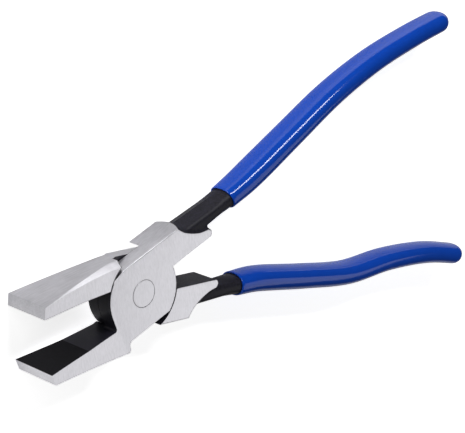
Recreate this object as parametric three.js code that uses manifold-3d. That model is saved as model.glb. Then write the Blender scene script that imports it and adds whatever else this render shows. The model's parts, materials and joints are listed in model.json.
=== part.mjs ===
// Glass breaking pliers with a drop jaw: two lap-jointed forgings turning on one flush-ground rivet, with dipped grips.
// Millimetres. The tool lies flat: X runs from the jaws to the handles, Y from one handle to the other and Z along the
// pivot. The origin is the centre of the rivet's lower end, which is flush with the lower cheek. Each half is drawn
// with the jaws closed and then turned by half the opening.
import * as THREE from 'three';
import { mergeVertices } from 'three/addons/utils/BufferGeometryUtils.js';
import Module from 'manifold-3d';

const wasm = await Module();
wasm.setup();

// Joint
const cheekRadius = 14.1;
const flatDepth = 2.05; // ground off the cheek's circle along the top and the bottom of the head
const lowerCheek = 5; // thickness of the straight jaw's cheek
const upperCheek = 6; // thickness of the drop jaw's cheek
const runningGap = 0.3;
const rivetHeadRadius = 4.55;
const rivetShankRadius = 3.4;
const rivetHeadDepth = 1.3;
const opening = THREE.MathUtils.degToRad(24.5); // between the jaws at rest

// Jaws
const dropJawLength = 43.6; // pivot to tip
const straightJawLength = 42.9;
const tipGap = 0.2; // left between the tips when the jaws are closed
const tipHeight = 4;
const jawTipWidth = 18.5;
const padLength = 16.5; // of the gripping face behind each tip
const dropPadAngle = THREE.MathUtils.degToRad(11.2);
const dropReliefAngle = THREE.MathUtils.degToRad(8.4);
const straightPadAngle = THREE.MathUtils.degToRad(6.2);
const straightReliefAngle = THREE.MathUtils.degToRad(5.2);
const throatFillet = 0.9;
const throatNub = 0.15; // left standing at the back of the drop jaw's throat
const heelX = 13; // pivot to the back of the drop jaw's heel
const heelStep = 3.15; // that the heel stands out from the flat
const heelFillet = 1.6;
const jawCrown = 0.9; // bow of the straight jaw's outer edge
const flareStart = 13; // from the pivot to where the sides start to widen
const flarePower = 1.3; // 1 would widen them in a straight line
const bevelLean = THREE.MathUtils.degToRad(18.3); // of the bevel on the straight jaw, across the jaw
const bevelRun = THREE.MathUtils.degToRad(7.4); // and along it
const bevelWidth = 1.5; // that the bevel's plane would have at the pivot

// Handle roots and shanks
const rootShoulder = 20.4; // pivot to the end of the outer flat
const rootLength = 31.5; // pivot to the centre of the nose's round
const rootNoseHeight = 3.1;
const scallopRun = 2.2; // from the shoulder to the corner that the scallop rounds
const scallopRise = 2; // and from the nose up to that corner
const dropRootInset = 1.4; // from the centre line to the root's inner edge
const straightRootInset = 0.7;
const humpStart = 8.4; // of the unground swelling outside the lower root
const humpEnd = 21.5;
const humpBow = 2;
const shankHalfWidth = 4; // at the root, from where it tapers to the grip
const shankHalfHeight = 4.7;
const dropShankCentre = 7.1;
const straightShankCentre = 6;

// Handles, as the line of their centres with the jaws closed, and their grips
const dropHandleLine = [
  [45.4, 7.1], [56.8, 7.9], [80, 11.2], [103.1, 14.4], [125.7, 15.1], [147.8, 13.3], [166.9, 10.6],
];
const straightHandleLine = [
  [45.1, -5.8], [56.4, -5.9], [79.6, -9], [102.7, -11.5], [124.9, -10.1], [147.7, -11.1], [168.2, -14.9],
];
const gripHalfWidth = 4.5;
const gripHalfHeight = 6.1;
const gripEndLength = 5; // of the rounded end
const mouthLength = 20; // over which the grip grows from its mouth to its full section
const mouthShare = 0.89; // of the full section that it has at the mouth
const gripWall = 0.8;
const gripFit = 0.3;
const gripCap = 3; // of grip beyond the end of the steel
const endTaper = 0.12; // share of the section lost from the mouth to the end
const sectionPower = 2.2; // 2 is an ellipse, and more is squarer

// Finishes
const steel = { color: 0xcbcacf, metalness: 1, roughness: 0.35 };
const blueVinyl = { color: 0x1437b4, metalness: 0, roughness: 0.2 };

// Fineness
const roundSteps = 12; // in a quarter turn, or along a curve of an outline
const flareSteps = 10;
const sweepSides = 20;
const shankSteps = 4;
const handleSteps = 32;
const domeTip = 0.12; // of the section, where the rounded end closes with a small flat

const thickness = lowerCheek + upperCheek;
const middle = thickness / 2;
const flatHalf = cheekRadius - flatDepth;
const flatAngle = Math.asin(flatHalf / cheekRadius);
const flatEnd = Math.sqrt(cheekRadius ** 2 - flatHalf ** 2);
const dropPadDepth = tipGap / 2 + padLength * Math.tan(dropPadAngle);
const dropThroat = dropPadDepth + (dropJawLength - padLength - cheekRadius) * Math.tan(dropReliefAngle);
const overlap = 1; // that a shape runs into the one it joins, or past the face it cuts
const beyond = 2 * Math.max(dropJawLength, straightJawLength); // past every face of the head

// Turns a closed geometry into a solid that can be joined and cut.
function solid(geometry) {
  const bare = geometry.index ? geometry.toNonIndexed() : geometry;
  bare.deleteAttribute('normal');
  bare.deleteAttribute('uv');
  const merged = mergeVertices(bare, 1e-5);
  return new wasm.Manifold(new wasm.Mesh({
    numProp: 3,
    vertProperties: merged.attributes.position.array,
    triVerts: Uint32Array.from(merged.index.array),
  }));
}

// Turns a solid back into a mesh with a material of its own.
function part(name, body, finish) {
  const { vertProperties, triVerts } = body.getMesh();
  const geometry = new THREE.BufferGeometry();
  geometry.setAttribute('position', new THREE.BufferAttribute(vertProperties, 3));
  geometry.setIndex(new THREE.BufferAttribute(triVerts, 1));
  geometry.computeVertexNormals();
  const mesh = new THREE.Mesh(geometry, new THREE.MeshStandardMaterial(finish));
  mesh.name = name;
  return mesh;
}

// Extrudes an outline drawn in X and Y between two heights.
function slab(outline, low, high) {
  const geometry = new THREE.ExtrudeGeometry(outline, {
    depth: high - low, bevelEnabled: false, curveSegments: roundSteps,
  });
  return solid(geometry.translate(0, 0, low));
}

function disc(radius, low, high) {
  const geometry = new THREE.CylinderGeometry(radius, radius, high - low, 4 * roundSteps);
  return solid(geometry.rotateX(Math.PI / 2).translate(0, 0, (low + high) / 2));
}

// Adds an arc of the cheek's circle to an outline.
function cheekArc(outline, fromAngle, toAngle) {
  outline.absarc(0, 0, cheekRadius, fromAngle, toAngle, false);
}

// Adds a curve to an outline, whose middle stands off the straight line by a bow along Y.
function bowTo(outline, x, y, bow) {
  const from = outline.currentPoint;
  outline.quadraticCurveTo((from.x + x) / 2, (from.y + y) / 2 + 2 * bow, x, y);
}

// The jaw's half width at a distance from the pivot, which widens from the joint to the tip.
function jawHalfWidth(distance, length) {
  const share = Math.max(0, (distance - flareStart) / (length - flareStart));
  return middle + (jawTipWidth / 2 - middle) * share ** flarePower;
}

// A half seen across the handles, through its whole height: the flared jaw and then the plain head.
function flaredBlank(length) {
  const tip = length + overlap;
  const stations = Array.from({ length: flareSteps + 1 }, (_, i) => {
    const distance = tip - (i / flareSteps) * (tip - flareStart);
    return [-distance, jawHalfWidth(distance, length)];
  });
  const outline = new THREE.Shape();
  outline.moveTo(beyond, 0);
  stations.toReversed().forEach(([x, half]) => outline.lineTo(x, middle - half));
  stations.forEach(([x, half]) => outline.lineTo(x, middle + half));
  outline.lineTo(beyond, thickness);
  const geometry = new THREE.ExtrudeGeometry(outline, { depth: 2 * beyond, bevelEnabled: false });
  return solid(geometry.rotateX(Math.PI / 2).translate(0, beyond, 0));
}

// The handle root on the +Y side: along the outer flat, down the scallop, round the nose and back to the cheek.
function rootPoints(inset) {
  const noseRadius = rootNoseHeight / 2;
  const noseTop = inset + rootNoseHeight;
  const root = new THREE.Shape();
  root.moveTo(-flatEnd, flatHalf);
  root.lineTo(rootShoulder, flatHalf);
  root.quadraticCurveTo(rootShoulder + scallopRun, noseTop + scallopRise, rootLength, noseTop);
  root.absarc(rootLength, inset + noseRadius, noseRadius, Math.PI / 2, -Math.PI / 2, true);
  root.lineTo(Math.sqrt(cheekRadius ** 2 - inset ** 2), inset);
  return root.getPoints(roundSteps);
}

// The half whose jaw lies on the -Y side with its inner face falling away from the tip, and its handle on the +Y side.
function dropOutline() {
  const heelBack = -heelX + heelFillet;
  const heel = -flatHalf - heelStep;
  const outline = new THREE.Shape();
  outline.moveTo(-dropJawLength, -tipGap / 2 - tipHeight);
  outline.lineTo(-heelX, heel);
  outline.quadraticCurveTo(heelBack, heel, heelBack, heel + heelFillet);
  outline.quadraticCurveTo(heelBack, -flatHalf, heelBack + heelFillet, -flatHalf);
  outline.lineTo(flatEnd, -flatHalf);
  cheekArc(outline, -flatAngle, Math.asin(dropRootInset / cheekRadius));
  rootPoints(dropRootInset).toReversed().forEach(({ x, y }) => outline.lineTo(x, y));
  cheekArc(outline, Math.PI - flatAngle, Math.PI);
  outline.lineTo(-cheekRadius, -dropThroat + throatFillet);
  outline.quadraticCurveTo(-cheekRadius, -dropThroat, -cheekRadius - throatFillet, -dropThroat);
  outline.lineTo(padLength - dropJawLength, -dropPadDepth);
  outline.lineTo(-dropJawLength, -tipGap / 2);
  return outline;
}

// The half whose jaw lies on the +Y side and its handle on the -Y side.
function straightOutline() {
  const padEnd = straightJawLength - padLength;
  const padY = tipGap / 2 + padLength * Math.tan(straightPadAngle);
  const throatY = padY + (padEnd - cheekRadius) * Math.tan(straightReliefAngle);
  const throatAngle = Math.asin(throatY / cheekRadius);
  const outline = new THREE.Shape();
  outline.moveTo(-straightJawLength, tipGap / 2);
  outline.lineTo(-padEnd, padY);
  outline.lineTo(-cheekRadius * Math.cos(throatAngle), throatY);
  cheekArc(outline, Math.PI - throatAngle, Math.PI + flatAngle);
  rootPoints(straightRootInset).forEach(({ x, y }) => outline.lineTo(x, -y));
  cheekArc(outline, -Math.asin(straightRootInset / cheekRadius), flatAngle);
  outline.lineTo(-flatEnd, flatHalf);
  bowTo(outline, -straightJawLength, tipGap / 2 + tipHeight, jawCrown / 2);
  return outline;
}

// The unground swelling outside the lower cheek's root, on the straight jaw's half.
function humpOutline() {
  const outline = new THREE.Shape();
  outline.moveTo(humpStart, overlap - flatHalf);
  outline.lineTo(humpStart, -flatHalf);
  bowTo(outline, humpEnd, overlap - flatHalf, -humpBow - overlap / 2);
  return outline;
}

// Beyond the shallow bevel along the straight jaw's outer edge, which is widest at the joint and gone near the tip.
function bevelCut() {
  const normal = new THREE.Vector3(-Math.tan(bevelRun), 1, Math.tan(bevelLean)).normalize();
  const block = new THREE.BoxGeometry(2 * beyond, 2 * beyond, 2 * beyond);
  block.translate(0, 0, beyond);
  block.applyQuaternion(new THREE.Quaternion().setFromUnitVectors(new THREE.Vector3(0, 0, 1), normal));
  block.translate(0, flatHalf, thickness - bevelWidth);
  const jawSide = new THREE.BoxGeometry(beyond, 2 * beyond, beyond);
  jawSide.translate(-beyond / 2, 0, lowerCheek + beyond / 2);
  return solid(block).intersect(solid(jawSide));
}

// Below the joint the drop jaw has no cheek, and its throat runs on level to the recess.
function dropRecess() {
  const throat = throatNub - dropThroat;
  const above = new THREE.Shape();
  above.moveTo(-cheekRadius - throatNub / Math.tan(dropReliefAngle), throat);
  above.lineTo(0, throat);
  above.lineTo(0, flatHalf + overlap);
  above.lineTo(-cheekRadius - throatNub / Math.tan(dropReliefAngle), flatHalf + overlap);
  const top = lowerCheek + runningGap / 2;
  return disc(cheekRadius + runningGap, -beyond, top).add(slab(above, -beyond, top));
}

// Sweeps an oval section along stations of { x, y, angle, halfWidth, halfHeight }, with a flat cap at each end.
function sweep(stations) {
  const rounded = (value) => Math.sign(value) * Math.abs(value) ** (2 / sectionPower);
  const positions = [];
  for (const { x, y, angle, halfWidth, halfHeight } of stations) {
    for (let i = 0; i < sweepSides; i += 1) {
      const turn = (i / sweepSides) * 2 * Math.PI;
      const across = rounded(Math.cos(turn)) * halfWidth;
      const up = rounded(Math.sin(turn)) * halfHeight;
      positions.push(x - Math.sin(angle) * across, y + Math.cos(angle) * across, middle + up);
    }
  }
  const first = stations[0];
  const last = stations[stations.length - 1];
  positions.push(first.x, first.y, middle, last.x, last.y, middle);
  const firstCentre = stations.length * sweepSides;
  const lastCentre = firstCentre + 1;
  const faces = [];
  for (let i = 0; i < sweepSides; i += 1) {
    const next = (i + 1) % sweepSides;
    faces.push(firstCentre, next, i);
    for (let s = 0; s + 1 < stations.length; s += 1) {
      const a = s * sweepSides;
      const b = a + sweepSides;
      faces.push(a + i, a + next, b + next, a + i, b + next, b + i);
    }
    const end = (stations.length - 1) * sweepSides;
    faces.push(lastCentre, end + i, end + next);
  }
  const geometry = new THREE.BufferGeometry();
  geometry.setAttribute('position', new THREE.BufferAttribute(new Float32Array(positions), 3));
  geometry.setIndex(faces);
  return solid(geometry);
}

function handleCurve(line) {
  return new THREE.CatmullRomCurve3(line.map(([x, y]) => new THREE.Vector3(x, y, 0)));
}

// Stations along a handle from its mouth, closer together towards the end. The section is given by a function of the
// distance from the mouth and of the whole length.
function stationsAlong(line, reach, section) {
  const curve = handleCurve(line);
  const length = curve.getLength();
  return Array.from({ length: handleSteps + 1 }, (_, i) => {
    const distance = reach * Math.sin((i / handleSteps) * Math.PI / 2);
    const point = curve.getPointAt(distance / length);
    const tangent = curve.getTangentAt(distance / length);
    return { x: point.x, y: point.y, angle: Math.atan2(tangent.y, tangent.x), ...section(distance, length) };
  });
}

// The share of the full section that the grip has at a distance from its mouth.
function gripShare(distance, length) {
  const grown = Math.min(1, distance / mouthLength);
  const mouth = mouthShare + (1 - mouthShare) * Math.sin((grown * Math.PI) / 2);
  return mouth * (1 - (endTaper * distance) / length);
}

// The grip's outer surface: a long oval that ends in a dome.
function gripOuter(line) {
  return sweep(stationsAlong(line, handleCurve(line).getLength(), (distance, length) => {
    const left = Math.min(1, (length - distance) / gripEndLength);
    const dome = Math.max(domeTip, Math.sqrt(1 - (1 - left) ** 2));
    const share = dome * gripShare(distance, length);
    return { halfWidth: gripHalfWidth * share, halfHeight: gripHalfHeight * share };
  }));
}

// The steel inside the grip, or with room round it the bore that it sits in.
function tang(line, room) {
  const reach = handleCurve(line).getLength() - gripCap - gripEndLength + room;
  return stationsAlong(line, reach, (distance, length) => {
    const share = gripShare(distance, length);
    return {
      halfWidth: gripHalfWidth * share - gripWall - gripFit + room,
      halfHeight: gripHalfHeight * share - gripWall - gripFit + room,
    };
  });
}

// The steel from inside the root, along the bare shank and on into the grip.
function handle(line, centre) {
  const inGrip = tang(line, 0);
  const [mouth] = inGrip;
  const rootX = rootShoulder - 2 * overlap;
  const shank = Array.from({ length: shankSteps }, (_, i) => {
    const share = i / shankSteps;
    return {
      x: rootX + (mouth.x - rootX) * share,
      y: centre + (mouth.y - centre) * share,
      angle: Math.atan2(mouth.y - centre, mouth.x - rootX),
      halfWidth: shankHalfWidth + (mouth.halfWidth - shankHalfWidth) * share,
      halfHeight: shankHalfHeight + (mouth.halfHeight - shankHalfHeight) * share,
    };
  });
  return sweep([...shank, ...inGrip]);
}

// The grip is bored from its mouth for the steel.
function grip(line) {
  const bore = tang(line, gripFit);
  const [mouth] = bore;
  const outside = {
    ...mouth,
    x: mouth.x - overlap * Math.cos(mouth.angle),
    y: mouth.y - overlap * Math.sin(mouth.angle),
  };
  return gripOuter(line).subtract(sweep([outside, ...bore]));
}

// A solid turned about the pivot from points of [radius, height].
function turned(profile) {
  const points = profile.map(([radius, height]) => new THREE.Vector2(radius, height));
  return solid(new THREE.LatheGeometry(points, 4 * roundSteps).rotateX(Math.PI / 2));
}

// The rivet: a shank between two flush countersunk heads.
function rivet() {
  return turned([
    [0, 0], [rivetHeadRadius, 0], [rivetShankRadius, rivetHeadDepth],
    [rivetShankRadius, thickness - rivetHeadDepth], [rivetHeadRadius, thickness], [0, thickness],
  ]);
}

// The hole through both cheeks, wider than the rivet by the running gap.
function rivetHole() {
  const head = rivetHeadRadius + runningGap;
  const shank = rivetShankRadius + runningGap;
  const depth = rivetHeadDepth + runningGap;
  return turned([
    [0, -overlap], [head, -overlap], [head, 0], [shank, depth],
    [shank, thickness - depth], [head, thickness], [head, thickness + overlap], [0, thickness + overlap],
  ]);
}

const dropForging = slab(dropOutline(), -beyond, beyond)
  .intersect(flaredBlank(dropJawLength))
  .subtract(dropRecess())
  .add(handle(dropHandleLine, dropShankCentre))
  .subtract(rivetHole());
const straightForging = slab(straightOutline(), -beyond, beyond)
  .intersect(flaredBlank(straightJawLength))
  .subtract(bevelCut())
  .subtract(disc(cheekRadius + runningGap, lowerCheek - runningGap / 2, beyond))
  .add(slab(humpOutline(), 0, lowerCheek - runningGap / 2))
  .add(handle(straightHandleLine, -straightShankCentre))
  .subtract(rivetHole());

const dropHalf = new THREE.Group();
dropHalf.rotation.z = opening / 2;
dropHalf.add(
  part('drop_jaw_forging', dropForging, steel),
  part('drop_jaw_grip', grip(dropHandleLine), blueVinyl),
  part('pivot_rivet', rivet(), steel),
);
const straightHalf = new THREE.Group();
straightHalf.rotation.z = -opening / 2;
straightHalf.add(
  part('straight_jaw_forging', straightForging, steel),
  part('straight_jaw_grip', grip(straightHandleLine), blueVinyl),
);

const pliers = new THREE.Group();
pliers.add(dropHalf, straightHalf);
export default pliers;
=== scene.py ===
"""Glass breaking pliers with a drop jaw: the looks of the two forgings, the rivet and the dipped grips."""

import json
import math

import bpy
import numpy as np
from mathutils import Matrix, Vector


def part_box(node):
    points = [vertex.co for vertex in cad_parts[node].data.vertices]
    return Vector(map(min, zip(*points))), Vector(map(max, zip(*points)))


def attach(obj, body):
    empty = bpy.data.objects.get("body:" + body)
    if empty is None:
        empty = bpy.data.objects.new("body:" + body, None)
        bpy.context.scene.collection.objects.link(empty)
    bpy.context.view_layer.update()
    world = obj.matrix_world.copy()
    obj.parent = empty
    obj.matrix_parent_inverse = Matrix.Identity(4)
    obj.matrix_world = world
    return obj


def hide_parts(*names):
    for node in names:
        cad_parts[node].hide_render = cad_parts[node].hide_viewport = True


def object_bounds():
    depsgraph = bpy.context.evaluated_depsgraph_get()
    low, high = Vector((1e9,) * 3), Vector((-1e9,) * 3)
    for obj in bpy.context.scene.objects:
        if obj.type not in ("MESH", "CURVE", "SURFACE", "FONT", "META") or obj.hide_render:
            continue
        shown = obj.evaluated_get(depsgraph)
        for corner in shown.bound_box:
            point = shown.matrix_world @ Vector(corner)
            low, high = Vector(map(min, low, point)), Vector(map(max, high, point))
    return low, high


bl_info = {
    "name": "Glass Breaking Pliers",
    "version": (1, 0, 0),
    "blender": (4, 5, 0),
    "location": "3D View > Sidebar > Pliers",
    "description": "Builds drop-jaw glass breaking pliers round their packed frame",
    "category": "Add Mesh",
}

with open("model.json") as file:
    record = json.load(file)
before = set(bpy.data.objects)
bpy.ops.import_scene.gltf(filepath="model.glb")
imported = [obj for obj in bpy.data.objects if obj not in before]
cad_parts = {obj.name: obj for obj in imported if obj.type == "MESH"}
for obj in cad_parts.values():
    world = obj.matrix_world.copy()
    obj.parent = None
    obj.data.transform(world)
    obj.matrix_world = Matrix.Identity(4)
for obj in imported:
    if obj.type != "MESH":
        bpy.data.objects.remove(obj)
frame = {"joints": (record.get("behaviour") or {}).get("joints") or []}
CAD_BOX = [list(corner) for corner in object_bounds()]

MM = 0.001
CLOSED = math.radians(frame["joints"][0]["range_deg"][0])  # the turn from rest to closed jaws
HEAD_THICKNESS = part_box("pivot_rivet")[1].z
MIDDLE = HEAD_THICKNESS / 2
CHEEK_EDGE = 0.1 * MM  # the round on the cheeks' edges
# Points on each handle's middle line with the tool closed, in mm along and across it, from mouth to end.
DROP_HANDLE = (
    (45.4, 7.1), (56.8, 7.9), (80, 11.2), (103.1, 14.4), (125.7, 15.1), (147.8, 13.3), (166.9, 10.6),
)
STRAIGHT_HANDLE = (
    (45.1, -5.8), (56.4, -5.9), (79.6, -9), (102.7, -11.5), (124.9, -10.1), (147.7, -11.1), (168.2, -14.9),
)


def srgb(code):
    """A hex colour as Blender's linear red, green and blue."""
    values = [int(code[i:i + 2], 16) / 255 for i in (0, 2, 4)]
    return [v / 12.92 if v <= 0.04045 else ((v + 0.055) / 1.055) ** 2.4 for v in values]


def millimetres(name, description, default):
    """A length setting, given in millimetres."""
    return bpy.props.FloatProperty(
        name=name, description=description, default=default * MM,
        unit="LENGTH", subtype="DISTANCE", precision=5,
    )


def degrees(name, description, default):
    """An angle setting, given in degrees."""
    return bpy.props.FloatProperty(
        name=name, description=description, default=math.radians(default),
        unit="ROTATION", subtype="ANGLE",
    )


def colour(name, description, code):
    """A colour setting, given as a hex colour."""
    return bpy.props.FloatVectorProperty(
        name=name, description=description, default=srgb(code), subtype="COLOR", size=3, min=0, max=1,
    )


class HeadSizes(bpy.types.PropertyGroup):
    """The lap joint and what both halves share."""

    cheek_radius: millimetres("Cheek radius", "Radius of the round cheeks", 14.1)
    flat: millimetres("Flat", "Pivot to the flats ground along the head", 12.05)
    cheek_corner: millimetres("Cheek corner", "Round on the near cheek beside the straight jaw", 2.2)
    joint_plane: millimetres("Joint plane", "Height at which the cheeks meet", 5)
    gap: millimetres("Gap", "Between one half's cheek and the other half's recess", 0.22)
    rivet_head: millimetres("Rivet head", "Radius of the rivet's flush ends", 4.55)
    rivet_shank: millimetres("Rivet shank", "Radius of the rivet between its ends", 3.4)
    rivet_depth: millimetres("Rivet depth", "Depth of each countersunk end", 1.3)
    seam: millimetres("Seam", "Between the rivet and the hole", 0.01)
    ground_edge: millimetres("Ground edge", "Radius left on an edge between ground faces", 0.13)
    forged_edge: millimetres("Forged edge", "Radius of an edge that isn't ground", 0.5)
    tip_height: millimetres("Tip height", "Height of each jaw's end", 4)
    tip_width: millimetres("Tip width", "Width of the jaws at their tips", 18.5)
    tip_gap: millimetres("Tip gap", "Between the tips when the jaws are closed", 0.2)
    pad: millimetres("Pad", "Length of the gripping face behind each tip", 16.5)
    flare_start: millimetres("Flare start", "Pivot to where the jaws start to widen", 13)
    flare_power: bpy.props.FloatProperty(
        name="Flare power", description="1 widens the jaws evenly", default=1.3,
    )


class JawSizes(bpy.types.PropertyGroup):
    """The two unlike jaws."""

    drop_length: millimetres("Drop jaw length", "Pivot to tip", 43.6)
    drop_pad_angle: degrees("Drop pad angle", "Fall of the drop jaw's pad", 11.2)
    drop_relief_angle: degrees("Drop relief angle", "Fall of the face behind the pad", 8.4)
    heel: millimetres("Heel", "Pivot to the outside of the drop jaw's heel", 15.2)
    heel_back: millimetres("Heel back", "Pivot to the back of the heel", 11.4)
    heel_round: millimetres("Heel round", "Radius on and under the heel", 1.6)
    throat_round: millimetres("Throat round", "Radius at the bottom of the throat", 0.9)
    straight_length: millimetres("Straight jaw length", "Pivot to tip", 42.9)
    straight_pad_angle: degrees("Straight pad angle", "Slope of the straight jaw's pad", 6.2)
    straight_relief_angle: degrees("Straight relief angle", "Slope of the face behind the pad", 5.2)
    crown: millimetres("Crown", "Bow of the straight jaw's outer edge", 0.45)
    bevel_lean: degrees("Bevel lean", "Slope of the straight jaw's bevel across it", 15.1)
    bevel_head: millimetres("Bevel head", "Far side to the bevel's crease, near the head", 7.2)
    bevel_start: millimetres("Bevel start", "Pivot to where the crease turns towards the side", 12.4)
    bevel_spread: degrees("Bevel spread", "Between the bevel's crease and the jaw's side", 13.85)
    bevel_edge: millimetres("Bevel edge", "Rounding of the bevel's crease", 0.03)
    outer_blend: millimetres("Outer blend", "Depth over which the jaw's outer edge runs into the flat", 1.4)


class RootSizes(bpy.types.PropertyGroup):
    """The ground handle roots and the bare shanks."""

    shoulder: millimetres("Shoulder", "Pivot to the end of the outer flat", 20.4)
    nose_end: millimetres("Nose end", "Pivot to the end of the root's nose", 33.1)
    nose_height: millimetres("Nose height", "Across the nose", 3.1)
    nose_round: millimetres("Nose round", "Radius on the nose", 1.5)
    drop_inset: millimetres("Drop inset", "Centre line to the drop half's root", 1.4)
    straight_inset: millimetres("Straight inset", "Centre line to the straight half's root", 0.75)
    scallop_radius: millimetres("Scallop radius", "Radius of the scallop from shoulder to nose", 16)
    scallop_bulge: millimetres("Scallop bulge", "Fullness of the scallop halfway through the forging", 1.4)
    hump_radius: millimetres("Hump radius", "Radius of the unground swelling at the lower root", 10.9)
    hump_x: millimetres("Hump along", "Pivot to the swelling's centre", 14.9)
    hump_y: millimetres("Hump across", "Centre line to the swelling's centre", 3.2)
    shank_start: millimetres("Shank start", "Where the shank starts, inside the root", 17)
    shank_half_width: millimetres("Shank half width", "Across the shank at the root", 4.4)
    shank_half_height: millimetres("Shank half height", "Along the pivot, at the root", 5.05)
    drop_centre: millimetres("Drop centre", "Centre line to the drop half's shank", 7.1)
    straight_centre: millimetres("Straight centre", "Centre line to the straight half's shank", 6)
    draft: degrees("Draft", "Slope of the shank's sides from its parting line", 22)
    shank_round: millimetres("Shank round", "Radius along the shank's edges", 1.1)
    blend: millimetres("Blend", "Radius where the shank runs into the root", 1.0)


class GripSizes(bpy.types.PropertyGroup):
    """The dipped grips."""

    half_width: millimetres("Half width", "Across the handle", 4.5)
    half_height: millimetres("Half height", "Along the pivot", 6.1)
    wall: millimetres("Wall", "Thickness of the dipped skin", 0.6)
    room: millimetres("Room", "Between the skin and the steel", 0.05)
    end: millimetres("End", "Length of the rounded end", 5)
    cap: millimetres("Cap", "Skin beyond the end of the steel", 3)
    mouth: millimetres("Mouth", "Length over which the grip grows to its full section", 20)
    mouth_share: bpy.props.FloatProperty(
        name="Mouth share", description="Of the full section that the mouth has",
        default=0.89, subtype="FACTOR",
    )
    end_taper: bpy.props.FloatProperty(
        name="End taper", description="Share of the section lost from mouth to end",
        default=0.12, subtype="FACTOR",
    )
    section_power: bpy.props.FloatProperty(
        name="Section power", description="2 is an ellipse, and more is squarer", default=2.25,
    )
    sides: bpy.props.IntProperty(name="Sides", description="Points round the section", default=96)
    lip: millimetres("Lip", "Radius of the mouth's rim", 0.25)


class Finish(bpy.types.PropertyGroup):
    """Colours, and the fineness of the forgings' surfaces."""

    steel: colour("Ground steel", "Belt-ground faces", "D6D5DA")
    oxide: colour("Black oxide", "Unground faces", "14131B")
    vinyl: colour("Vinyl", "Dipped grips", "0D42AB")
    floor: colour("Floor", "Plain pale floor", "F2F2F2")
    cell: millimetres("Cell", "Fineness of the forgings' surfaces", 0.28)
    tang_cell: millimetres("Tang cell", "Fineness along the steel inside the grips", 1.2)
    stock: millimetres("Stock", "Steel ground off the faces that are bright", 0.5)


def outside(x, y, start, end):
    """Distance from the line through two points, positive on the left on the way from start to end."""
    along = Vector(end) - Vector(start)
    along.normalize()
    return along.x * (y - start[1]) - along.y * (x - start[0])


def cut(a, b, radius):
    """What is inside both shapes, with the edge between them rounded."""
    over = np.hypot(np.maximum(a + radius, 0), np.maximum(b + radius, 0))
    return np.minimum(-radius, np.maximum(a, b)) + over


def join(a, b, radius):
    """What is inside either shape, with a fillet between them."""
    return -cut(-a, -b, radius)


def handle_line(points):
    """Stations along a handle from mouth to end, in metres: distance, x, y and angle."""
    p = np.array(points) * MM
    chord = np.hypot(*np.diff(p, axis=0).T)
    knots = np.concatenate([[0], np.cumsum(np.sqrt(chord))])
    ahead = np.vstack([2 * p[0] - p[1], p, 2 * p[-1] - p[-2]])
    times = np.concatenate([[-knots[1]], knots, [2 * knots[-1] - knots[-2]]])
    slope = (ahead[2:] - ahead[:-2]) / (times[2:] - times[:-2])[:, None]
    t = np.linspace(0, knots[-1], 400)
    i = np.clip(np.searchsorted(knots, t, side="right") - 1, 0, len(p) - 2)
    width = (knots[i + 1] - knots[i])[:, None]
    s = ((t - knots[i]) / width[:, 0])[:, None]
    xy = (
        (2 * s**3 - 3 * s**2 + 1) * p[i] + (s**3 - 2 * s**2 + s) * width * slope[i]
        + (3 * s**2 - 2 * s**3) * p[i + 1] + (s**3 - s**2) * width * slope[i + 1]
    )
    step = np.gradient(xy, axis=0)
    distance = np.concatenate([[0], np.cumsum(np.hypot(*np.diff(xy, axis=0).T))])
    return distance, xy[:, 0], xy[:, 1], np.arctan2(step[:, 1], step[:, 0])


def grip_share(distance, length, sizes):
    """The share of its full section that the grip has at a distance from its mouth."""
    grown = np.clip(distance / sizes.mouth, 0, 1)
    mouth = sizes.mouth_share + (1 - sizes.mouth_share) * np.sin(grown * math.pi / 2)
    return mouth * (1 - sizes.end_taper * distance / length)


def oval(across, up, half_width, half_height, power):
    """Roughly the distance from an oval section."""
    u, w = np.abs(across) / half_width, np.abs(up) / half_height
    size = np.maximum((u**power + w**power) ** (1 / power), 1e-6)
    slope = size ** (1 - power) * np.hypot(u ** (power - 1) / half_width, w ** (power - 1) / half_height)
    return (size - 1) / np.maximum(slope, 0.5 / half_height)


def shank(x, y, z, side, points, centre, settings):
    """The bare shank and the steel inside the grip, as a distance."""
    root, grip = settings.pliers_root, settings.pliers_grip
    distance, line_x, line_y, angle = handle_line(points)
    length = distance[-1]
    before = x < line_x[0]
    share = np.clip((x - root.shank_start) / (line_x[0] - root.shank_start), 0, 1)
    middle_y = np.where(before, side * centre * (1 - share) + line_y[0] * share, np.interp(x, line_x, line_y))
    turn = np.interp(x, line_x, angle)
    turn = np.where(before, math.atan2(line_y[0] - side * centre, line_x[0] - root.shank_start), turn)
    across = side * (y - middle_y) * np.cos(turn)
    up = z - MIDDLE
    along = np.interp(x, line_x, distance)
    size = grip_share(along, length, grip)
    skin = grip.wall + grip.room
    half_width = grip.half_width * size - skin
    half_height = grip.half_height * size - skin
    steel = oval(across, up, half_width, half_height, grip.section_power)
    wide = root.shank_half_width + (half_width - root.shank_half_width) * share
    high = root.shank_half_height + (half_height - root.shank_half_height) * share
    upright, slanted = math.cos(root.draft), math.sin(root.draft)
    sloped = np.abs(across) * upright + np.abs(up) * slanted - wide * upright
    bare = cut(sloped, np.abs(up) - high, root.shank_round)
    # Just before the mouth, the bare shank takes on the section that fills the grip.
    before_mouth, change = 9 * MM, 8 * MM
    into_grip = np.clip((x - line_x[0] + before_mouth) / change, 0, 1)
    into_grip = into_grip * into_grip * (3 - 2 * into_grip)
    body = bare + (steel - bare) * into_grip
    reach = length - grip.cap - grip.end
    end_round, start_round = 1.5 * MM, 1 * MM
    body = cut(body, (along - reach) + np.maximum(x - line_x[-1], 0), end_round)
    return cut(body, root.shank_start - x, start_round)


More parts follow.
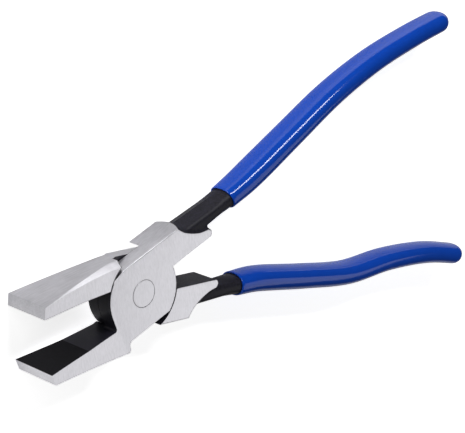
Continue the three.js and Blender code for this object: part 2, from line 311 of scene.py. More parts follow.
def root_outline(x, y, z, inset, settings):
    """The root on the +Y side: scallop, nose and inner edge. The scallop has the draft of its forging."""
    head, root = settings.pliers_head, settings.pliers_root
    shoulder = Vector((root.shoulder, head.flat))
    nose_top = Vector((root.nose_end - root.nose_round, inset + root.nose_height))
    chord = nose_top - shoulder
    rise = math.sqrt(root.scallop_radius**2 - chord.length_squared / 4) / chord.length
    centre = (shoulder + nose_top) / 2 + Vector((-chord.y, chord.x)) * rise
    fuller = root.scallop_bulge * np.maximum(1 - ((z - MIDDLE) / MIDDLE) ** 2, 0)
    scallop = root.scallop_radius - fuller - np.hypot(x - centre.x, y - centre.y)
    nose = cut(inset - y, x - root.nose_end, root.nose_round)
    return np.maximum(cut(nose, scallop, root.nose_round), -x)


def side_faces(x, z, length, stock, head):
    """The two ground sides, which flare from the head to the jaw's tip."""
    share = np.maximum(0, (-x - head.flare_start) / (length - head.flare_start))
    half = MIDDLE + (head.tip_width / 2 - MIDDLE) * share**head.flare_power
    return np.abs(z - MIDDLE) - half - stock


def rivet_hole(x, y, z, head):
    """Inside the countersunk hole, as a distance."""
    depth = np.clip(1 - (MIDDLE - np.abs(z - MIDDLE)) / head.rivet_depth, 0, 1)
    return np.hypot(x, y) - (head.rivet_shank + (head.rivet_head - head.rivet_shank) * depth + head.seam)


def finish_forging(outline, x, y, z, side, points, centre, length, stock, settings):
    """Adds the shank to an outline, and grinds the flats and the sides."""
    head, root = settings.pliers_head, settings.pliers_root
    steel = shank(x, y, z, side, points, centre, settings)
    whole = join(outline, steel, root.blend)
    whole = np.where(x > 0, cut(whole, side * y - head.flat - stock, head.ground_edge), whole)
    return cut(whole, side_faces(x, z, length, stock, head), head.ground_edge)


def drop_forging(x, y, z, stock, settings):
    """Distance from the half with the drop jaw. A stock is left on the faces that are ground."""
    head, jaw, root = settings.pliers_head, settings.pliers_jaw, settings.pliers_root
    tip = (-jaw.drop_length, -head.tip_gap / 2)
    pad_end = (tip[0] + head.pad, tip[1] - head.pad * math.tan(jaw.drop_pad_angle))
    run = -head.cheek_radius - pad_end[0]
    throat = (-head.cheek_radius, pad_end[1] - run * math.tan(jaw.drop_relief_angle))
    inner = np.minimum(outside(x, y, tip, pad_end), outside(x, y, pad_end, throat))
    heel = (-jaw.heel_back - jaw.heel_round, -jaw.heel)
    outer = -outside(x, y, (tip[0], tip[1] - head.tip_height), heel) - stock
    jaw_outline = cut(cut(outer, x + jaw.heel_back, jaw.heel_round), tip[0] - x - stock, head.ground_edge)
    jaw_outline = cut(jaw_outline, inner, head.ground_edge)
    left = np.where(y > 0, np.hypot(x, y), -x) - head.cheek_radius
    rim = np.where(x < 0, left, np.hypot(x, y) - head.cheek_radius)
    corner = np.where((x < 0) & (y > 0), head.cheek_corner, CHEEK_EDGE)
    cheek = cut(np.abs(y) - head.flat - stock, rim, corner)
    under_jaw = y < throat[1] - 3 * MM
    fillet = np.where(under_jaw, jaw.heel_round, jaw.throat_round)
    outline = join(jaw_outline, cheek, fillet)
    outline = join(outline, root_outline(x, y, z, root.drop_inset, settings), head.ground_edge)
    body = finish_forging(
        outline, x, y, z, 1, DROP_HANDLE, root.drop_centre, jaw.drop_length, stock, settings,
    )
    # Towards the jaw the recess runs out over the throat, where the straight jaw lies when closed.
    above, beyond = 0.15 * MM, 1 * MM
    floor = np.maximum(throat[1] + above - y, np.maximum(x, -x - head.cheek_radius - beyond))
    room = np.minimum(np.hypot(x, y) - head.cheek_radius - head.gap, floor)
    recess = np.maximum(z - head.joint_plane - head.gap / 2, room)
    return cut(body, -np.minimum(recess, rivet_hole(x, y, z, head)), head.seam)


def straight_forging(x, y, z, stock, settings):
    """Distance from the half with the straight jaw. A stock is left on the faces that are ground."""
    head, jaw, root = settings.pliers_head, settings.pliers_jaw, settings.pliers_root
    tip = (-jaw.straight_length, head.tip_gap / 2)
    pad_end = (tip[0] + head.pad, tip[1] + head.pad * math.tan(jaw.straight_pad_angle))
    throat = (0, pad_end[1] - pad_end[0] * math.tan(jaw.straight_relief_angle))
    inner = np.minimum(-outside(x, y, tip, pad_end), -outside(x, y, pad_end, throat))
    flat_end = (-math.sqrt(head.cheek_radius**2 - head.flat**2), head.flat)
    top = (tip[0], tip[1] + head.tip_height)
    share = np.clip((x - top[0]) / (flat_end[0] - top[0]), 0, 1)
    outer = outside(x, y, top, flat_end) - 4 * jaw.crown * share * (1 - share)
    flat = y - head.flat
    bend = np.maximum(jaw.outer_blend - np.abs(outer - flat), 0)
    outer = np.maximum(outer, flat) + bend**2 / (4 * jaw.outer_blend) - stock
    lean = math.tan(jaw.bevel_lean)
    crease = jaw.bevel_head + np.maximum(-x - jaw.bevel_start, 0) * math.tan(jaw.bevel_spread)
    bevel = (outer + stock + lean * (z - crease)) / math.hypot(1, lean) - stock
    jaw_outline = cut(outer, tip[0] - x - stock, head.ground_edge)
    jaw_outline = cut(jaw_outline, np.maximum(inner, x), head.ground_edge)
    cheek = cut(np.abs(y) - head.flat - stock, np.hypot(x, y) - head.cheek_radius, CHEEK_EDGE)
    outline = join(jaw_outline, cheek, head.ground_edge)
    outline = join(outline, root_outline(x, -y, z, root.straight_inset, settings), head.ground_edge)
    body = finish_forging(
        outline, x, y, z, -1, STRAIGHT_HANDLE, root.straight_centre, jaw.straight_length, stock, settings,
    )
    body = np.where(x < 0, cut(body, bevel, jaw.bevel_edge), body)
    recess = np.maximum(head.joint_plane - head.gap / 2 - z, np.hypot(x, y) - head.cheek_radius - head.gap)
    body = cut(body, -np.minimum(recess, rivet_hole(x, y, z, head)), head.seam)
    top_line = -8 * MM
    round_end = np.hypot(x - root.hump_x, y + root.hump_y) - root.hump_radius
    swelling = np.maximum(round_end, y - top_line)
    upper = cut(swelling, z - head.joint_plane + head.gap / 2, head.forged_edge)
    return join(body, cut(upper, -z - stock, head.ground_edge), head.ground_edge)


def grid_lines(low, high, finish):
    """Grid values from low to high, which spread out along the steel inside a grip."""
    head_end, mouth = 36 * MM, 48 * MM
    fine = np.arange(low, min(high, head_end), finish.cell)
    shank = np.arange(fine[-1] + 2 * finish.cell, mouth, 2 * finish.cell)
    coarse = np.arange(shank[-1] + finish.tang_cell, high + finish.tang_cell, finish.tang_cell)
    return np.concatenate([fine, shank, coarse])


def sample(distance, lines, block=8, margin=1.6):
    """The distance on a grid. Blocks of it that are far from the surface only keep their sign."""
    counts = [math.ceil((len(line) - 1) / block) for line in lines]
    centres, reach = [], []
    for line, count in zip(lines, counts):
        ends = np.minimum(np.arange(count + 1) * block, len(line) - 1)
        centres.append((line[ends[:-1]] + line[ends[1:]]) / 2)
        reach.append((line[ends[1:]] - line[ends[:-1]]) / 2)
    coarse = distance(*np.meshgrid(*centres, indexing="ij"))
    radius = np.sqrt(sum(r**2 for r in np.meshgrid(*reach, indexing="ij")))
    near = np.abs(coarse) < margin * radius
    index = np.ix_(*[
        np.minimum(np.arange(len(line)) // block, count - 1) for line, count in zip(lines, counts)
    ])
    values = np.where(coarse > 0, 1.0, -1.0)[index]
    wanted = near[index]
    for axis in range(3):
        back = np.roll(near, 1, axis)
        wanted |= back[index] | np.roll(near, -1, axis)[index]
    i, j, k = np.nonzero(wanted)
    values[i, j, k] = distance(lines[0][i], lines[1][j], lines[2][k])
    return values


def slopes(distance, points, step=0.02 * MM):
    """The direction in which the distance grows fastest at each point."""
    out = np.empty_like(points)
    for axis in range(3):
        move = np.zeros(3)
        move[axis] = step
        out[:, axis] = distance(*(points + move).T) - distance(*(points - move).T)
    return out / np.maximum(np.linalg.norm(out, axis=1), 1e-12)[:, None]


def crossing(distance, first, last, a, b):
    """Where the surface crosses the edges from first to last, at whose ends the distances are a and b."""
    low_share, high_share = np.zeros(len(a)), np.ones(len(a))
    share = np.clip(a / (a - b), 0.05, 0.95)
    for _ in range(4):
        value = distance(*(first + share[:, None] * (last - first)).T)
        inside = (value < 0) == (a < 0)
        low_share, low_value = np.where(inside, share, low_share), np.where(inside, value, a)
        high_share, high_value = np.where(inside, high_share, share), np.where(inside, b, value)
        a, b = low_value, high_value
        share = low_share + (high_share - low_share) * np.clip(a / (a - b), 0.03, 0.97)
    return first + share[:, None] * (last - first)


def cell_corners(distance, crossings, pairs, lines, hold=0.05):
    """One corner for each used cell, where the planes at its crossings meet, held towards their middle."""
    normals = slopes(distance, crossings)
    used, cell = np.unique(pairs[:, 0], return_inverse=True)
    edge = pairs[:, 1]
    count = np.bincount(cell)
    centre = np.stack([np.bincount(cell, crossings[edge, n]) for n in range(3)], 1) / count[:, None]
    n, offset = normals[edge], crossings[edge] - centre[cell]
    pull = np.sum(n * offset, 1)
    square = np.empty((len(used), 3, 3))
    side = np.empty((len(used), 3))
    for r in range(3):
        side[:, r] = np.bincount(cell, n[:, r] * pull)
        for c in range(3):
            square[:, r, c] = np.bincount(cell, n[:, r] * n[:, c])
    square += hold * np.eye(3)
    corner = centre + np.linalg.solve(square, side[:, :, None])[:, :, 0]
    place = np.unravel_index(used, [len(line) for line in lines])
    for n, line in enumerate(lines):
        corner[:, n] = np.clip(corner[:, n], line[place[n]], line[np.minimum(place[n] + 1, len(line) - 1)])
    for _ in range(2):
        value = distance(*corner.T)
        corner -= value[:, None] * slopes(distance, corner)
    return used, corner


def surface(distance, lines):
    """The surface where a distance is zero, as corners and quads, with its sharp edges kept."""
    values = sample(distance, lines)
    crossings, cells, quads = [], [], []
    start = 0
    for axis in range(3):
        low = [slice(None)] * 3
        high = [slice(None)] * 3
        low[axis], high[axis] = slice(None, -1), slice(1, None)
        a, b = values[tuple(low)], values[tuple(high)]
        index = np.array(np.nonzero((a < 0) != (b < 0))).T
        a, b = a[tuple(index.T)], b[tuple(index.T)]
        first = np.stack([lines[n][index[:, n]] for n in range(3)], 1)
        ahead = index.copy()
        ahead[:, axis] += 1
        last = np.stack([lines[n][ahead[:, n]] for n in range(3)], 1)
        crossings.append(crossing(distance, first, last, a, b))
        u, v = (axis + 1) % 3, (axis + 2) % 3
        corners = []
        for du, dv in ((0, 0), (1, 0), (1, 1), (0, 1)):
            corner = index.copy()
            corner[:, u] -= du
            corner[:, v] -= dv
            corners.append((corner[:, 0] * values.shape[1] + corner[:, 1]) * values.shape[2] + corner[:, 2])
        quad = np.stack(corners, 1)
        numbers = np.repeat(np.arange(start, start + len(index))[:, None], 4, 1)
        cells.append(np.stack([quad, numbers], 2))
        start += len(index)
        outward = values[tuple(index.T)] < 0
        quad[~outward] = quad[~outward][:, ::-1]
        quads.append(quad)
    pairs = np.concatenate(cells).reshape(-1, 2)
    used, corner = cell_corners(distance, np.concatenate(crossings), pairs, lines)
    return corner, np.searchsorted(used, np.concatenate(quads))


def add_mesh(name, corners, faces):
    """A mesh object in the part's frame, at the origin and shaded smooth."""
    mesh = bpy.data.meshes.new(name)
    mesh.from_pydata([tuple(c) for c in corners], [], [tuple(int(i) for i in f) for f in faces])
    mesh.polygons.foreach_set("use_smooth", [True] * len(mesh.polygons))
    obj = bpy.data.objects.new(name, mesh)
    bpy.context.scene.collection.objects.link(obj)
    return obj


def turned(points, angle):
    """Points turned about the pivot."""
    c, s = math.cos(angle), math.sin(angle)
    return points @ np.array([[c, s, 0], [-s, c, 0], [0, 0, 1]])


def shade_sharp(mesh, corners, quads, normals):
    """Shades with the surface's own normals, and across an edge that is too tight for them with flat ones."""
    a, b, c, d = [corners[quads[:, n]] for n in range(4)]
    flat = np.cross(c - a, d - b)
    flat /= np.maximum(np.linalg.norm(flat, axis=1), 1e-12)[:, None]
    flat = np.repeat(flat[:, None], 4, 1)
    own = normals[quads]
    tight = math.radians(22)
    bent = np.sum(own * flat, 2) < math.cos(tight)
    own[bent] = flat[bent]
    mesh.normals_split_custom_set(own.reshape(-1, 3))


def forging(name, field, box, turn, pad_end, scene):
    """Makes a forging from its distance field, and marks what is ground on it and where its pad is."""
    finish = scene.pliers_finish
    lines = [
        grid_lines(box[0][0], box[1][0], finish),
        np.arange(box[0][1], box[1][1] + finish.cell, finish.cell),
        np.arange(box[0][2], box[1][2] + finish.cell, finish.cell),
    ]

    def finished(x, y, z):
        """Distance from the forging once its stock is ground off."""
        return field(x, y, z, 0, scene)

    corners, quads = surface(finished, lines)
    normals = slopes(finished, corners)
    ground = -field(*corners.T, finish.stock, scene) / finish.stock
    facing_pad = 0.8
    pad = (corners[:, 0] < pad_end) & (np.abs(normals[:, 1]) > facing_pad)
    obj = add_mesh(name, turned(corners, turn), quads)
    for key, values in (("ground", ground), ("side", np.abs(normals[:, 2])), ("pad", pad)):
        attribute = obj.data.attributes.new(key, "FLOAT", "POINT")
        attribute.data.foreach_set("value", values.astype(np.float32))
    shade_sharp(obj.data, turned(corners, turn), quads, turned(normals, turn))
    return obj


def add_node(tree, kind, links=(), **settings):
    """Adds a node, with settings by attribute or by input name, and links as (input, from socket)."""
    node = tree.nodes.new(kind)
    for key, value in settings.items():
        if hasattr(node, key):
            setattr(node, key, value)
        else:
            node.inputs[key.replace("_", " ")].default_value = value
    for socket, source in links:
        tree.links.new(source, node.inputs[socket])
    return node


def new_material(name):
    """An empty material with a shader and an output, as (material, tree, shader)."""
    material = bpy.data.materials.new(name)
    material.use_nodes = True
    tree = material.node_tree
    tree.nodes.clear()
    shader = tree.nodes.new("ShaderNodeBsdfPrincipled")
    add_node(tree, "ShaderNodeOutputMaterial", [("Surface", shader.outputs[0])])
    return material, tree, shader


def remap(tree, value, **settings):
    """A value taken from one range to another."""
    return add_node(tree, "ShaderNodeMapRange", [("Value", value)], **settings).outputs[0]


def noise(tree, place, **settings):
    """Noise with about as many waves to the metre as its scale."""
    return add_node(tree, "ShaderNodeTexNoise", [("Vector", place)], **settings).outputs[0]


def two_tones(tree, factor, tone, low, high):
    """A colour that wavers between a darker and a lighter tone of itself."""
    mix = add_node(tree, "ShaderNodeMix", [("Factor", factor)], data_type="RGBA")
    mix.inputs["A"].default_value = (*[low * c for c in tone], 1)
    mix.inputs["B"].default_value = (*[min(1, high * c) for c in tone], 1)
    return mix.outputs["Result"]


def forged_steel(finish):
    """Forged tool steel, blacked all over and then belt-ground on the faces that meet the belt.

    The ground faces are bright and satin. The belt ran across the sides and along the edges, and left
    lines of grit that way. The rest keeps a soft black oxide over the fine grain of the forging scale,
    deeper where the pads grip.
    """
    material, tree, shader = new_material("belt-ground and black-oxided steel")
    place = add_node(tree, "ShaderNodeTexCoord").outputs["Object"]
    ground = add_node(tree, "ShaderNodeAttribute", attribute_name="ground").outputs["Fac"]
    side = add_node(tree, "ShaderNodeAttribute", attribute_name="side").outputs["Fac"]
    pad = add_node(tree, "ShaderNodeAttribute", attribute_name="pad").outputs["Fac"]
    bright = remap(tree, ground, interpolation_type="SMOOTHSTEP", From_Min=0.1, From_Max=0.3)
    on_side = remap(tree, side, interpolation_type="SMOOTHSTEP", From_Min=0.6, From_Max=0.8)
    # Lines of grit about 0.6 mm apart: 2 mm long and across the tool on its sides, 5 mm long on its edges.
    across_place = add_node(tree, "ShaderNodeMapping", [("Vector", place)], Scale=(1700, 450, 1700))
    along_place = add_node(tree, "ShaderNodeMapping", [("Vector", place)], Scale=(180, 1500, 1500))
    across = noise(tree, across_place.outputs[0], Scale=1.0, Detail=3.0, Roughness=0.6)
    along = noise(tree, along_place.outputs[0], Scale=1.0, Detail=3.0, Roughness=0.6)
    grit = add_node(
        tree, "ShaderNodeMix", [("Factor", on_side), ("A", along), ("B", across)],
    ).outputs["Result"]
    # Hand grinding leaves soft patches about 5 mm across.
    patches = noise(tree, place, Scale=200.0, Detail=2.0, Roughness=0.5)
    mottle = add_node(tree, "ShaderNodeMix", [("A", grit), ("B", patches)], Factor=0.4).outputs["Result"]
    uneven = remap(tree, mottle, From_Min=0.35, From_Max=0.65)
    # The forging scale has a grain of about 0.6 mm.
    scale = noise(tree, place, Scale=1600.0, Detail=4.0, Roughness=0.7)
    grain = remap(tree, scale, From_Min=0.35, From_Max=0.65)
    steel_tone = two_tones(tree, uneven, finish.steel, 0.89, 1.1)
    open_tone = two_tones(tree, grain, finish.oxide, 0.4, 2.4)
    pad_tone = two_tones(tree, grain, finish.oxide, 0.2, 0.5)
    # The oxide is a film with fine pores, which mirrors less than a smooth coat.
    shader.inputs["Specular IOR Level"].default_value = 0.24
    black = add_node(
        tree, "ShaderNodeMix", [("Factor", pad), ("A", open_tone), ("B", pad_tone)], data_type="RGBA",
    ).outputs["Result"]
    tone = add_node(
        tree, "ShaderNodeMix", [("Factor", bright), ("A", black), ("B", steel_tone)], data_type="RGBA",
    ).outputs["Result"]
    tree.links.new(tone, shader.inputs["Base Color"])
    tree.links.new(bright, shader.inputs["Metallic"])
    steel_rough = remap(tree, uneven, To_Min=0.3, To_Max=0.36)
    open_rough = remap(tree, grain, To_Min=0.38, To_Max=0.58)
    black_rough = add_node(
        tree, "ShaderNodeMix", [("Factor", pad), ("A", open_rough)], B=0.95,
    ).outputs["Result"]
    rough = add_node(
        tree, "ShaderNodeMix", [("Factor", bright), ("A", black_rough), ("B", steel_rough)],
    ).outputs["Result"]
    tree.links.new(rough, shader.inputs["Roughness"])
    relief = add_node(
        tree, "ShaderNodeMix", [("Factor", bright), ("A", scale), ("B", grit)],
    ).outputs["Result"]
    bump = add_node(tree, "ShaderNodeBump", [("Height", relief)], Strength=0.3, Distance=0.03 * MM)
    tree.links.new(bump.outputs[0], shader.inputs["Normal"])
    return material


def dipped_vinyl(finish):
    """Plastisol, dipped hot and left to flow: glossy, an even deep blue, with a faint orange peel."""
    material, tree, shader = new_material("dipped glossy vinyl")
    place = add_node(tree, "ShaderNodeTexCoord").outputs["Object"]
    # The skin's orange peel has waves of about 3 mm.
    peel = noise(tree, place, Scale=330.0, Detail=1.0)
    tree.links.new(two_tones(tree, peel, finish.vinyl, 0.94, 1.05), shader.inputs["Base Color"])
    tree.links.new(remap(tree, peel, To_Min=0.1, To_Max=0.14), shader.inputs["Roughness"])
    bump = add_node(tree, "ShaderNodeBump", [("Height", peel)], Strength=0.05, Distance=0.03 * MM)
    tree.links.new(bump.outputs[0], shader.inputs["Normal"])
    shader.inputs["IOR"].default_value = 1.52
    # The skin has fine pores, which mirror less than a smooth coat.
    shader.inputs["Specular IOR Level"].default_value = 0.34
    return material


def steel_material(scene):
    """The steel's material, made when it is first wanted."""
    return bpy.data.materials.get("belt-ground and black-oxided steel") or forged_steel(scene.pliers_finish)


def vinyl_material(scene):
    """The vinyl's material, made when it is first wanted."""
    return bpy.data.materials.get("dipped glossy vinyl") or dipped_vinyl(scene.pliers_finish)


def grip_tree():
    """Sweeps an oval section along a handle's line, open at the mouth and closed by a dome at the end."""
    tree = bpy.data.node_groups.new("Dipped grip", "GeometryNodeTree")
    inputs = {
        "Geometry": "Geometry", "Half width": "Float", "Half height": "Float", "Section power": "Float",
        "Mouth": "Float", "Mouth share": "Float", "End": "Float", "End taper": "Float", "Sides": "Int",
        "Material": "Material",
    }
    for name, kind in inputs.items():
        tree.interface.new_socket(name, in_out="INPUT", socket_type="NodeSocket" + kind)
    tree.interface.new_socket("Geometry", in_out="OUTPUT", socket_type="NodeSocketGeometry")
    group = add_node(tree, "NodeGroupInput").outputs

    def maths(operation, *values):
        """A Math node over sockets and numbers."""
        node = add_node(tree, "ShaderNodeMath", operation=operation)
        for socket, value in zip(node.inputs, values):
            if isinstance(value, (int, float)):
                socket.default_value = value
            else:
                tree.links.new(value, socket)
        return node.outputs[0]

    along = add_node(tree, "GeometryNodeSplineParameter")
    length = add_node(tree, "GeometryNodeSplineLength")
    grown = maths("MINIMUM", maths("DIVIDE", along.outputs["Length"], group["Mouth"]), 1.0)
    rise = maths("SINE", maths("MULTIPLY", grown, math.pi / 2))
    growth = maths("SUBTRACT", 1.0, group["Mouth share"])
    mouth = maths("ADD", group["Mouth share"], maths("MULTIPLY", rise, growth))
    taper = maths("SUBTRACT", 1.0, maths("MULTIPLY", group["End taper"], along.outputs["Factor"]))
    left = maths("SUBTRACT", length.outputs["Length"], along.outputs["Length"])
    short = maths("SUBTRACT", 1.0, maths("MINIMUM", maths("DIVIDE", left, group["End"]), 1.0))
    dome = maths("SQRT", maths("MAXIMUM", maths("SUBTRACT", 1.0, maths("MULTIPLY", short, short)), 0.0))
    radius = maths("MULTIPLY", dome, maths("MULTIPLY", mouth, taper))
    line = add_node(tree, "GeometryNodeSetCurveNormal", [("Curve", group["Geometry"])], mode="Z_UP")
    line = add_node(tree, "GeometryNodeSetCurveRadius", [("Curve", line.outputs[0]), ("Radius", radius)])
    circle = add_node(tree, "GeometryNodeCurvePrimitiveCircle", [("Resolution", group["Sides"])], Radius=1.0)
    position = add_node(tree, "GeometryNodeInputPosition").outputs[0]
    place = add_node(tree, "ShaderNodeSeparateXYZ", [("Vector", position)])
    power = maths("DIVIDE", 2.0, group["Section power"])
    squarer = [
        maths("MULTIPLY", maths("SIGN", value), maths("POWER", maths("ABSOLUTE", value), power))
        for value in place.outputs[:2]
    ]
    section = add_node(
        tree, "ShaderNodeCombineXYZ",
        [("X", maths("MULTIPLY", squarer[0], group["Half width"])),
         ("Y", maths("MULTIPLY", squarer[1], group["Half height"]))],
    )
    ring = add_node(
        tree, "GeometryNodeSetPosition", [("Geometry", circle.outputs[0]), ("Position", section.outputs[0])],
    )
    skin = add_node(
        tree, "GeometryNodeCurveToMesh", [("Curve", line.outputs[0]), ("Profile Curve", ring.outputs[0])],
    )
    if "Scale" in skin.inputs:
        tree.links.new(radius, skin.inputs["Scale"])
    closed = add_node(
        tree, "GeometryNodeMergeByDistance", [("Geometry", skin.outputs[0])], Distance=0.02 * MM,
    )
    smooth = add_node(tree, "GeometryNodeSetShadeSmooth", [("Geometry", closed.outputs[0])])
    real = add_node(tree, "GeometryNodeRealizeInstances", [("Geometry", smooth.outputs[0])])
    coloured = add_node(
        tree, "GeometryNodeSetMaterial", [("Geometry", real.outputs[0]), ("Material", group["Material"])],
    )
    add_node(tree, "NodeGroupOutput", [(0, coloured.outputs[0])])
    return tree


def dipped_grip(name, points, turn, scene):
    """Makes a grip: a swept skin with a wall and a rounded mouth."""
    sizes = scene.pliers_grip
    distance, x, y, _ = handle_line(points)
    share = np.sin(np.linspace(0, 1, 120) * math.pi / 2)
    stations = np.stack([np.interp(share * distance[-1], distance, v) for v in (x, y, 0 * x + MIDDLE)], 1)
    curve = bpy.data.curves.new(name + "_line", "CURVE")
    curve.dimensions = "3D"
    spline = curve.splines.new("POLY")
    spline.points.add(len(stations) - 1)
    for point, station in zip(spline.points, turned(stations, turn)):
        point.co = (*station, 1)
    line = bpy.data.objects.new(name + "_line", curve)
    bpy.context.scene.collection.objects.link(line)
    nodes = line.modifiers.new("Grip", "NODES")
    nodes.node_group = bpy.data.node_groups.get("Dipped grip") or grip_tree()
    values = {
        "Half width": sizes.half_width, "Half height": sizes.half_height,
        "Section power": sizes.section_power, "Mouth": sizes.mouth, "Mouth share": sizes.mouth_share,
        "End": sizes.end, "End taper": sizes.end_taper, "Sides": sizes.sides,
        "Material": vinyl_material(scene),
    }
    for item in nodes.node_group.interface.items_tree:
        if item.in_out == "INPUT" and item.name in values:
            nodes[item.identifier] = values[item.name]
    skin = plain_copy(line, name)
    bpy.data.objects.remove(line)
    wall = skin.modifiers.new("Wall", "SOLIDIFY")
    wall.thickness = sizes.wall
    wall.offset = -1
    rim = skin.modifiers.new("Rim", "BEVEL")
    rim.width = sizes.lip
    rim.segments = 3
    rim.angle_limit = math.radians(60)
    grip = plain_copy(skin, name)
    bpy.data.objects.remove(skin)
    return grip


def plain_copy(obj, name):
    """The object with its modifiers applied, as a new object with a plain mesh."""
    graph = bpy.context.evaluated_depsgraph_get()
    graph.update()
    mesh = bpy.data.meshes.new_from_object(obj.evaluated_get(graph), depsgraph=graph)
    obj.name = name + "_source"
    mesh.name = name
    copy = bpy.data.objects.new(name, mesh)
    bpy.context.scene.collection.objects.link(copy)
    return copy


def place_piece(obj, body, node, material=None):
    """Puts a finished piece on its body in place of a CAD node."""
    if material:
        obj.data.materials.clear()
        obj.data.materials.append(material)
    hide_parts(node)
    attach(obj, body)


class PLIERS_OT_drop_forging(bpy.types.Operator):
    """Make the forging with the drop jaw"""

    bl_idname = "pliers.drop_forging"
    bl_label = "Drop jaw forging"

    def execute(self, context):
        scene = context.scene
        box = ((-45 * MM, -17 * MM, -5 * MM), (161 * MM, 19 * MM, 16 * MM))
        pad_end = scene.pliers_head.pad - scene.pliers_jaw.drop_length
        obj = forging("drop_forging", drop_forging, box, -CLOSED / 2, pad_end, scene)
        place_piece(obj, "drop_half", "drop_jaw_forging", steel_material(scene))
        return {"FINISHED"}


class PLIERS_OT_straight_forging(bpy.types.Operator):
    """Make the forging with the straight jaw"""

    bl_idname = "pliers.straight_forging"
    bl_label = "Straight jaw forging"

    def execute(self, context):
        scene = context.scene
        box = ((-44.3 * MM, -19 * MM, -5 * MM), (162 * MM, 14 * MM, 16 * MM))
        pad_end = scene.pliers_head.pad - scene.pliers_jaw.straight_length
        obj = forging("straight_forging", straight_forging, box, CLOSED / 2, pad_end, scene)
        place_piece(obj, "straight_half", "straight_jaw_forging", steel_material(scene))
        return {"FINISHED"}


class PLIERS_OT_rivet(bpy.types.Operator):
    """Make the flush rivet"""

    bl_idname = "pliers.rivet"
    bl_label = "Rivet"

    def execute(self, context):
        scene = context.scene
        head = scene.pliers_head
        edge = 0.04 * MM
        half = [
            (head.rivet_shank, MIDDLE), (head.rivet_shank, head.rivet_depth),
            (head.rivet_head - 0.3 * edge, edge), (head.rivet_head - edge, 0.2 * edge),
            (head.rivet_head - 2 * edge, 0),
        ]
        rings = half[::-1] + [(r, HEAD_THICKNESS - z) for r, z in half[1:]]
        inner = [(rings[0][0] * share, 0) for share in (0.35, 0.7, 0.92)]
        rings = inner + rings + [(r, HEAD_THICKNESS) for r, _ in inner[::-1]]
        sides = 96
        corners = [
            (r * math.cos(2 * math.pi * i / sides), r * math.sin(2 * math.pi * i / sides), z)
            for r, z in rings for i in range(sides)
        ]
        corners += [(0, 0, 0), (0, 0, HEAD_THICKNESS)]
        low, high, last = len(corners) - 2, len(corners) - 1, (len(rings) - 1) * sides
        faces = []
        for i in range(sides):
            ahead = (i + 1) % sides
            faces.append((low, ahead, i))
            faces.append((high, last + i, last + ahead))
            for ring in range(len(rings) - 1):
                a, b = ring * sides, (ring + 1) * sides
                faces.append((a + i, a + ahead, b + ahead, b + i))
        obj = add_mesh("rivet", corners, faces)
        for key in ("ground", "side"):
            attribute = obj.data.attributes.new(key, "FLOAT", "POINT")
            attribute.data.foreach_set("value", [1.0] * len(corners))
        sharp = math.radians(35)
        obj.data.set_sharp_from_angle(angle=sharp)
        place_piece(obj, "drop_half", "pivot_rivet", steel_material(scene))
        return {"FINISHED"}


class PLIERS_OT_grips(bpy.types.Operator):
    """Make both dipped grips"""

    bl_idname = "pliers.grips"
    bl_label = "Grips"

    def execute(self, context):
        scene = context.scene
        drop = dipped_grip("drop_grip", DROP_HANDLE, -CLOSED / 2, scene)
        place_piece(drop, "drop_half", "drop_jaw_grip")
        straight = dipped_grip("straight_grip", STRAIGHT_HANDLE, CLOSED / 2, scene)
        place_piece(straight, "straight_half", "straight_jaw_grip")
        return {"FINISHED"}


def area_light(name, toward, distance, size, power):
    """A softbox that stands off from the tool in a direction and faces it."""
    data = bpy.data.lights.new(name, "AREA")
    data.shape = "RECTANGLE"
    data.size, data.size_y = size
    data.energy = power
    light = bpy.data.objects.new(name, data)
    aim = Vector((0.03, 0, MIDDLE))
    back = Vector(toward).normalized()
    across = Vector((0, 0, 1)).cross(back).normalized()
    rise = back.cross(across)
    turn = Matrix((across, rise, back)).transposed().to_4x4()
    light.matrix_world = Matrix.Translation(aim + back * distance) @ turn
    bpy.context.scene.collection.objects.link(light)


def floor_glow(tree, floor_z):
    """How bright the floor is: plain in the camera, dimmer as a light, and shaded where steel mirrors it."""
    place = add_node(tree, "ShaderNodeTexCoord").outputs["Object"]
    # Painted glow: a patch of floor behind the jaws that glows though no lamp is there. Only steel and vinyl
    # mirror it, as a painted highlight on the jaw's bevel.
    glow_patch_place = add_node(
        tree, "ShaderNodeMapping", [("Vector", place)], vector_type="TEXTURE",
        Location=(4 * MM, 40 * MM, floor_z), Rotation=(0, 0, math.radians(178)),
        Scale=(22 * MM, 9 * MM, 1),
    ).outputs[0]
    away = add_node(tree, "ShaderNodeVectorMath", [(0, glow_patch_place)], operation="LENGTH").outputs["Value"]
    painted_glow = remap(tree, away, From_Min=0.6, From_Max=1.0, To_Min=1.0, To_Max=0.0)
    # In them the rest of the floor has a painted shadow of the tool behind it and painted shade along the
    # handles. Beyond that painted shadow it is white.
    back = add_node(tree, "ShaderNodeSeparateXYZ", [("Vector", place)]).outputs["Y"]
    behind = remap(tree, back, From_Min=-20 * MM, From_Max=18 * MM, To_Min=0.5, To_Max=0.03)
    along = add_node(tree, "ShaderNodeSeparateXYZ", [("Vector", place)]).outputs["X"]
    handles = remap(tree, along, From_Min=-10 * MM, From_Max=40 * MM, To_Min=1.0, To_Max=0.2)
    rest = add_node(tree, "ShaderNodeMath", [(0, behind), (1, handles)], operation="MULTIPLY").outputs[0]
    beyond = remap(tree, back, From_Min=52 * MM, From_Max=80 * MM, To_Max=0.9)
    plain = add_node(tree, "ShaderNodeMath", [(0, rest), (1, beyond)], operation="ADD").outputs[0]
    mirrored = add_node(tree, "ShaderNodeMix", [("Factor", painted_glow), ("A", plain)], B=1.8).outputs["Result"]
    path = add_node(tree, "ShaderNodeLightPath").outputs
    unseen = add_node(
        tree, "ShaderNodeMix", [("Factor", path["Is Glossy Ray"]), ("B", mirrored)], A=0.25,
    ).outputs["Result"]
    glow = add_node(tree, "ShaderNodeMix", [("Factor", path["Is Camera Ray"]), ("A", unseen)], B=0.78)
    return glow.outputs["Result"]


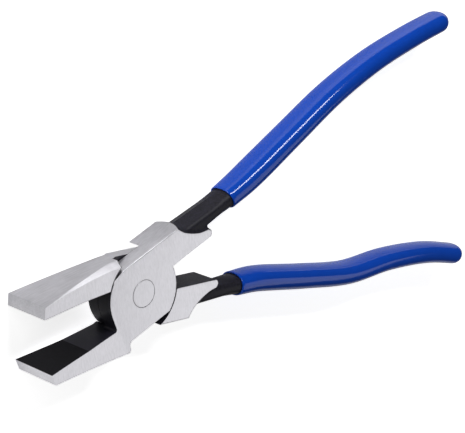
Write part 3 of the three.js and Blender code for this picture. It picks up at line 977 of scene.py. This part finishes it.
def make_floor(scene):
    """A large pale floor just under the tool."""
    floor_z = CAD_BOX[0][2] - 0.2 * MM
    corners = [(x, y, floor_z) for x, y in ((-3, -3), (3, -3), (3, 3), (-3, 3))]
    floor = add_mesh("floor", corners, [(0, 1, 2, 3)])
    material, tree, shader = new_material("plain pale floor")
    shader.inputs["Base Color"].default_value = (*scene.pliers_finish.floor, 1)
    shader.inputs["Roughness"].default_value = 0.9
    shader.inputs["Emission Color"].default_value = (1, 1, 1, 1)
    tree.links.new(floor_glow(tree, floor_z), shader.inputs["Emission Strength"])
    floor.data.materials.append(material)
    return floor


def make_lights(scene):
    """A dim white sky and four softboxes."""
    world = bpy.data.worlds.new("soft studio")
    scene.world = world
    world.use_nodes = True
    background = world.node_tree.nodes["Background"]
    background.inputs["Color"].default_value = (1, 1, 1, 1)
    background.inputs["Strength"].default_value = 0.04
    area_light("key", (0.205, 0.715, 0.67), 0.9, (0.42, 0.12), 4.0)
    area_light("fill", (-0.64, 0.77, 0.08), 0.8, (0.6, 0.35), 5.8)
    area_light("side softbox", (0.565, -0.43, 0.7), 0.3, (0.2, 0.17), 0.131)
    area_light("front softbox", (-0.74, -0.42, 0.52), 0.8, (0.4, 0.4), 0.34)


def make_camera(scene):
    """The camera that took the photograph, as fitted to it."""
    focal, width = 1714.33, 465  # in pixels
    data = bpy.data.cameras.new("camera")
    data.sensor_width = 36
    data.lens = focal / width * data.sensor_width
    data.clip_start, data.clip_end = 0.05, 20
    camera = bpy.data.objects.new("camera", data)
    back = Vector((-0.61473, 0.39208, 0.68438)).normalized()
    right = Vector((0.71102, -0.10010, 0.69601))
    right = (right - right.dot(back) * back).normalized()
    turn = Matrix((right, back.cross(right), back)).transposed().to_4x4()
    camera.matrix_world = Matrix.Translation((-0.308264, 0.234559, 0.400318)) @ turn
    scene.collection.objects.link(camera)
    scene.camera = camera


class PLIERS_OT_stage(bpy.types.Operator):
    """Make the floor, the lights and the camera"""

    bl_idname = "pliers.stage"
    bl_label = "Stage"

    def execute(self, context):
        scene = context.scene
        floor = make_floor(scene)
        make_lights(scene)
        make_camera(scene)
        scene.view_settings.view_transform = "Standard"
        return {"FINISHED"}


class PLIERS_PT_panel(bpy.types.Panel):
    """Settings and steps of the pliers"""

    bl_idname = "PLIERS_PT_panel"
    bl_label = "Glass breaking pliers"
    bl_space_type = "VIEW_3D"
    bl_region_type = "UI"
    bl_category = "Pliers"

    def draw(self, context):
        for operator in OPERATORS:
            self.layout.operator(operator.bl_idname)
        for group in GROUPS:
            settings = getattr(context.scene, GROUPS[group])
            column = self.layout.column(heading=group.__doc__)
            for name in group.__annotations__:
                column.prop(settings, name)


OPERATORS = (
    PLIERS_OT_drop_forging, PLIERS_OT_straight_forging, PLIERS_OT_rivet, PLIERS_OT_grips, PLIERS_OT_stage,
)
GROUPS = {
    HeadSizes: "pliers_head", JawSizes: "pliers_jaw", RootSizes: "pliers_root", GripSizes: "pliers_grip",
    Finish: "pliers_finish",
}


def register():
    for group, name in GROUPS.items():
        bpy.utils.register_class(group)
        setattr(bpy.types.Scene, name, bpy.props.PointerProperty(type=group))
    for kind in (*OPERATORS, PLIERS_PT_panel):
        bpy.utils.register_class(kind)


def unregister():
    for kind in (PLIERS_PT_panel, *reversed(OPERATORS)):
        bpy.utils.unregister_class(kind)
    for group, name in GROUPS.items():
        delattr(bpy.types.Scene, name)
        bpy.utils.unregister_class(group)


def main():
    """Runs every step and writes the part's size beside the size of its solids."""
    register()
    bpy.ops.pliers.drop_forging()
    bpy.ops.pliers.straight_forging()
    bpy.ops.pliers.rivet()
    bpy.ops.pliers.grips()
    bpy.ops.pliers.stage()


if __name__ == "__main__":
    main()
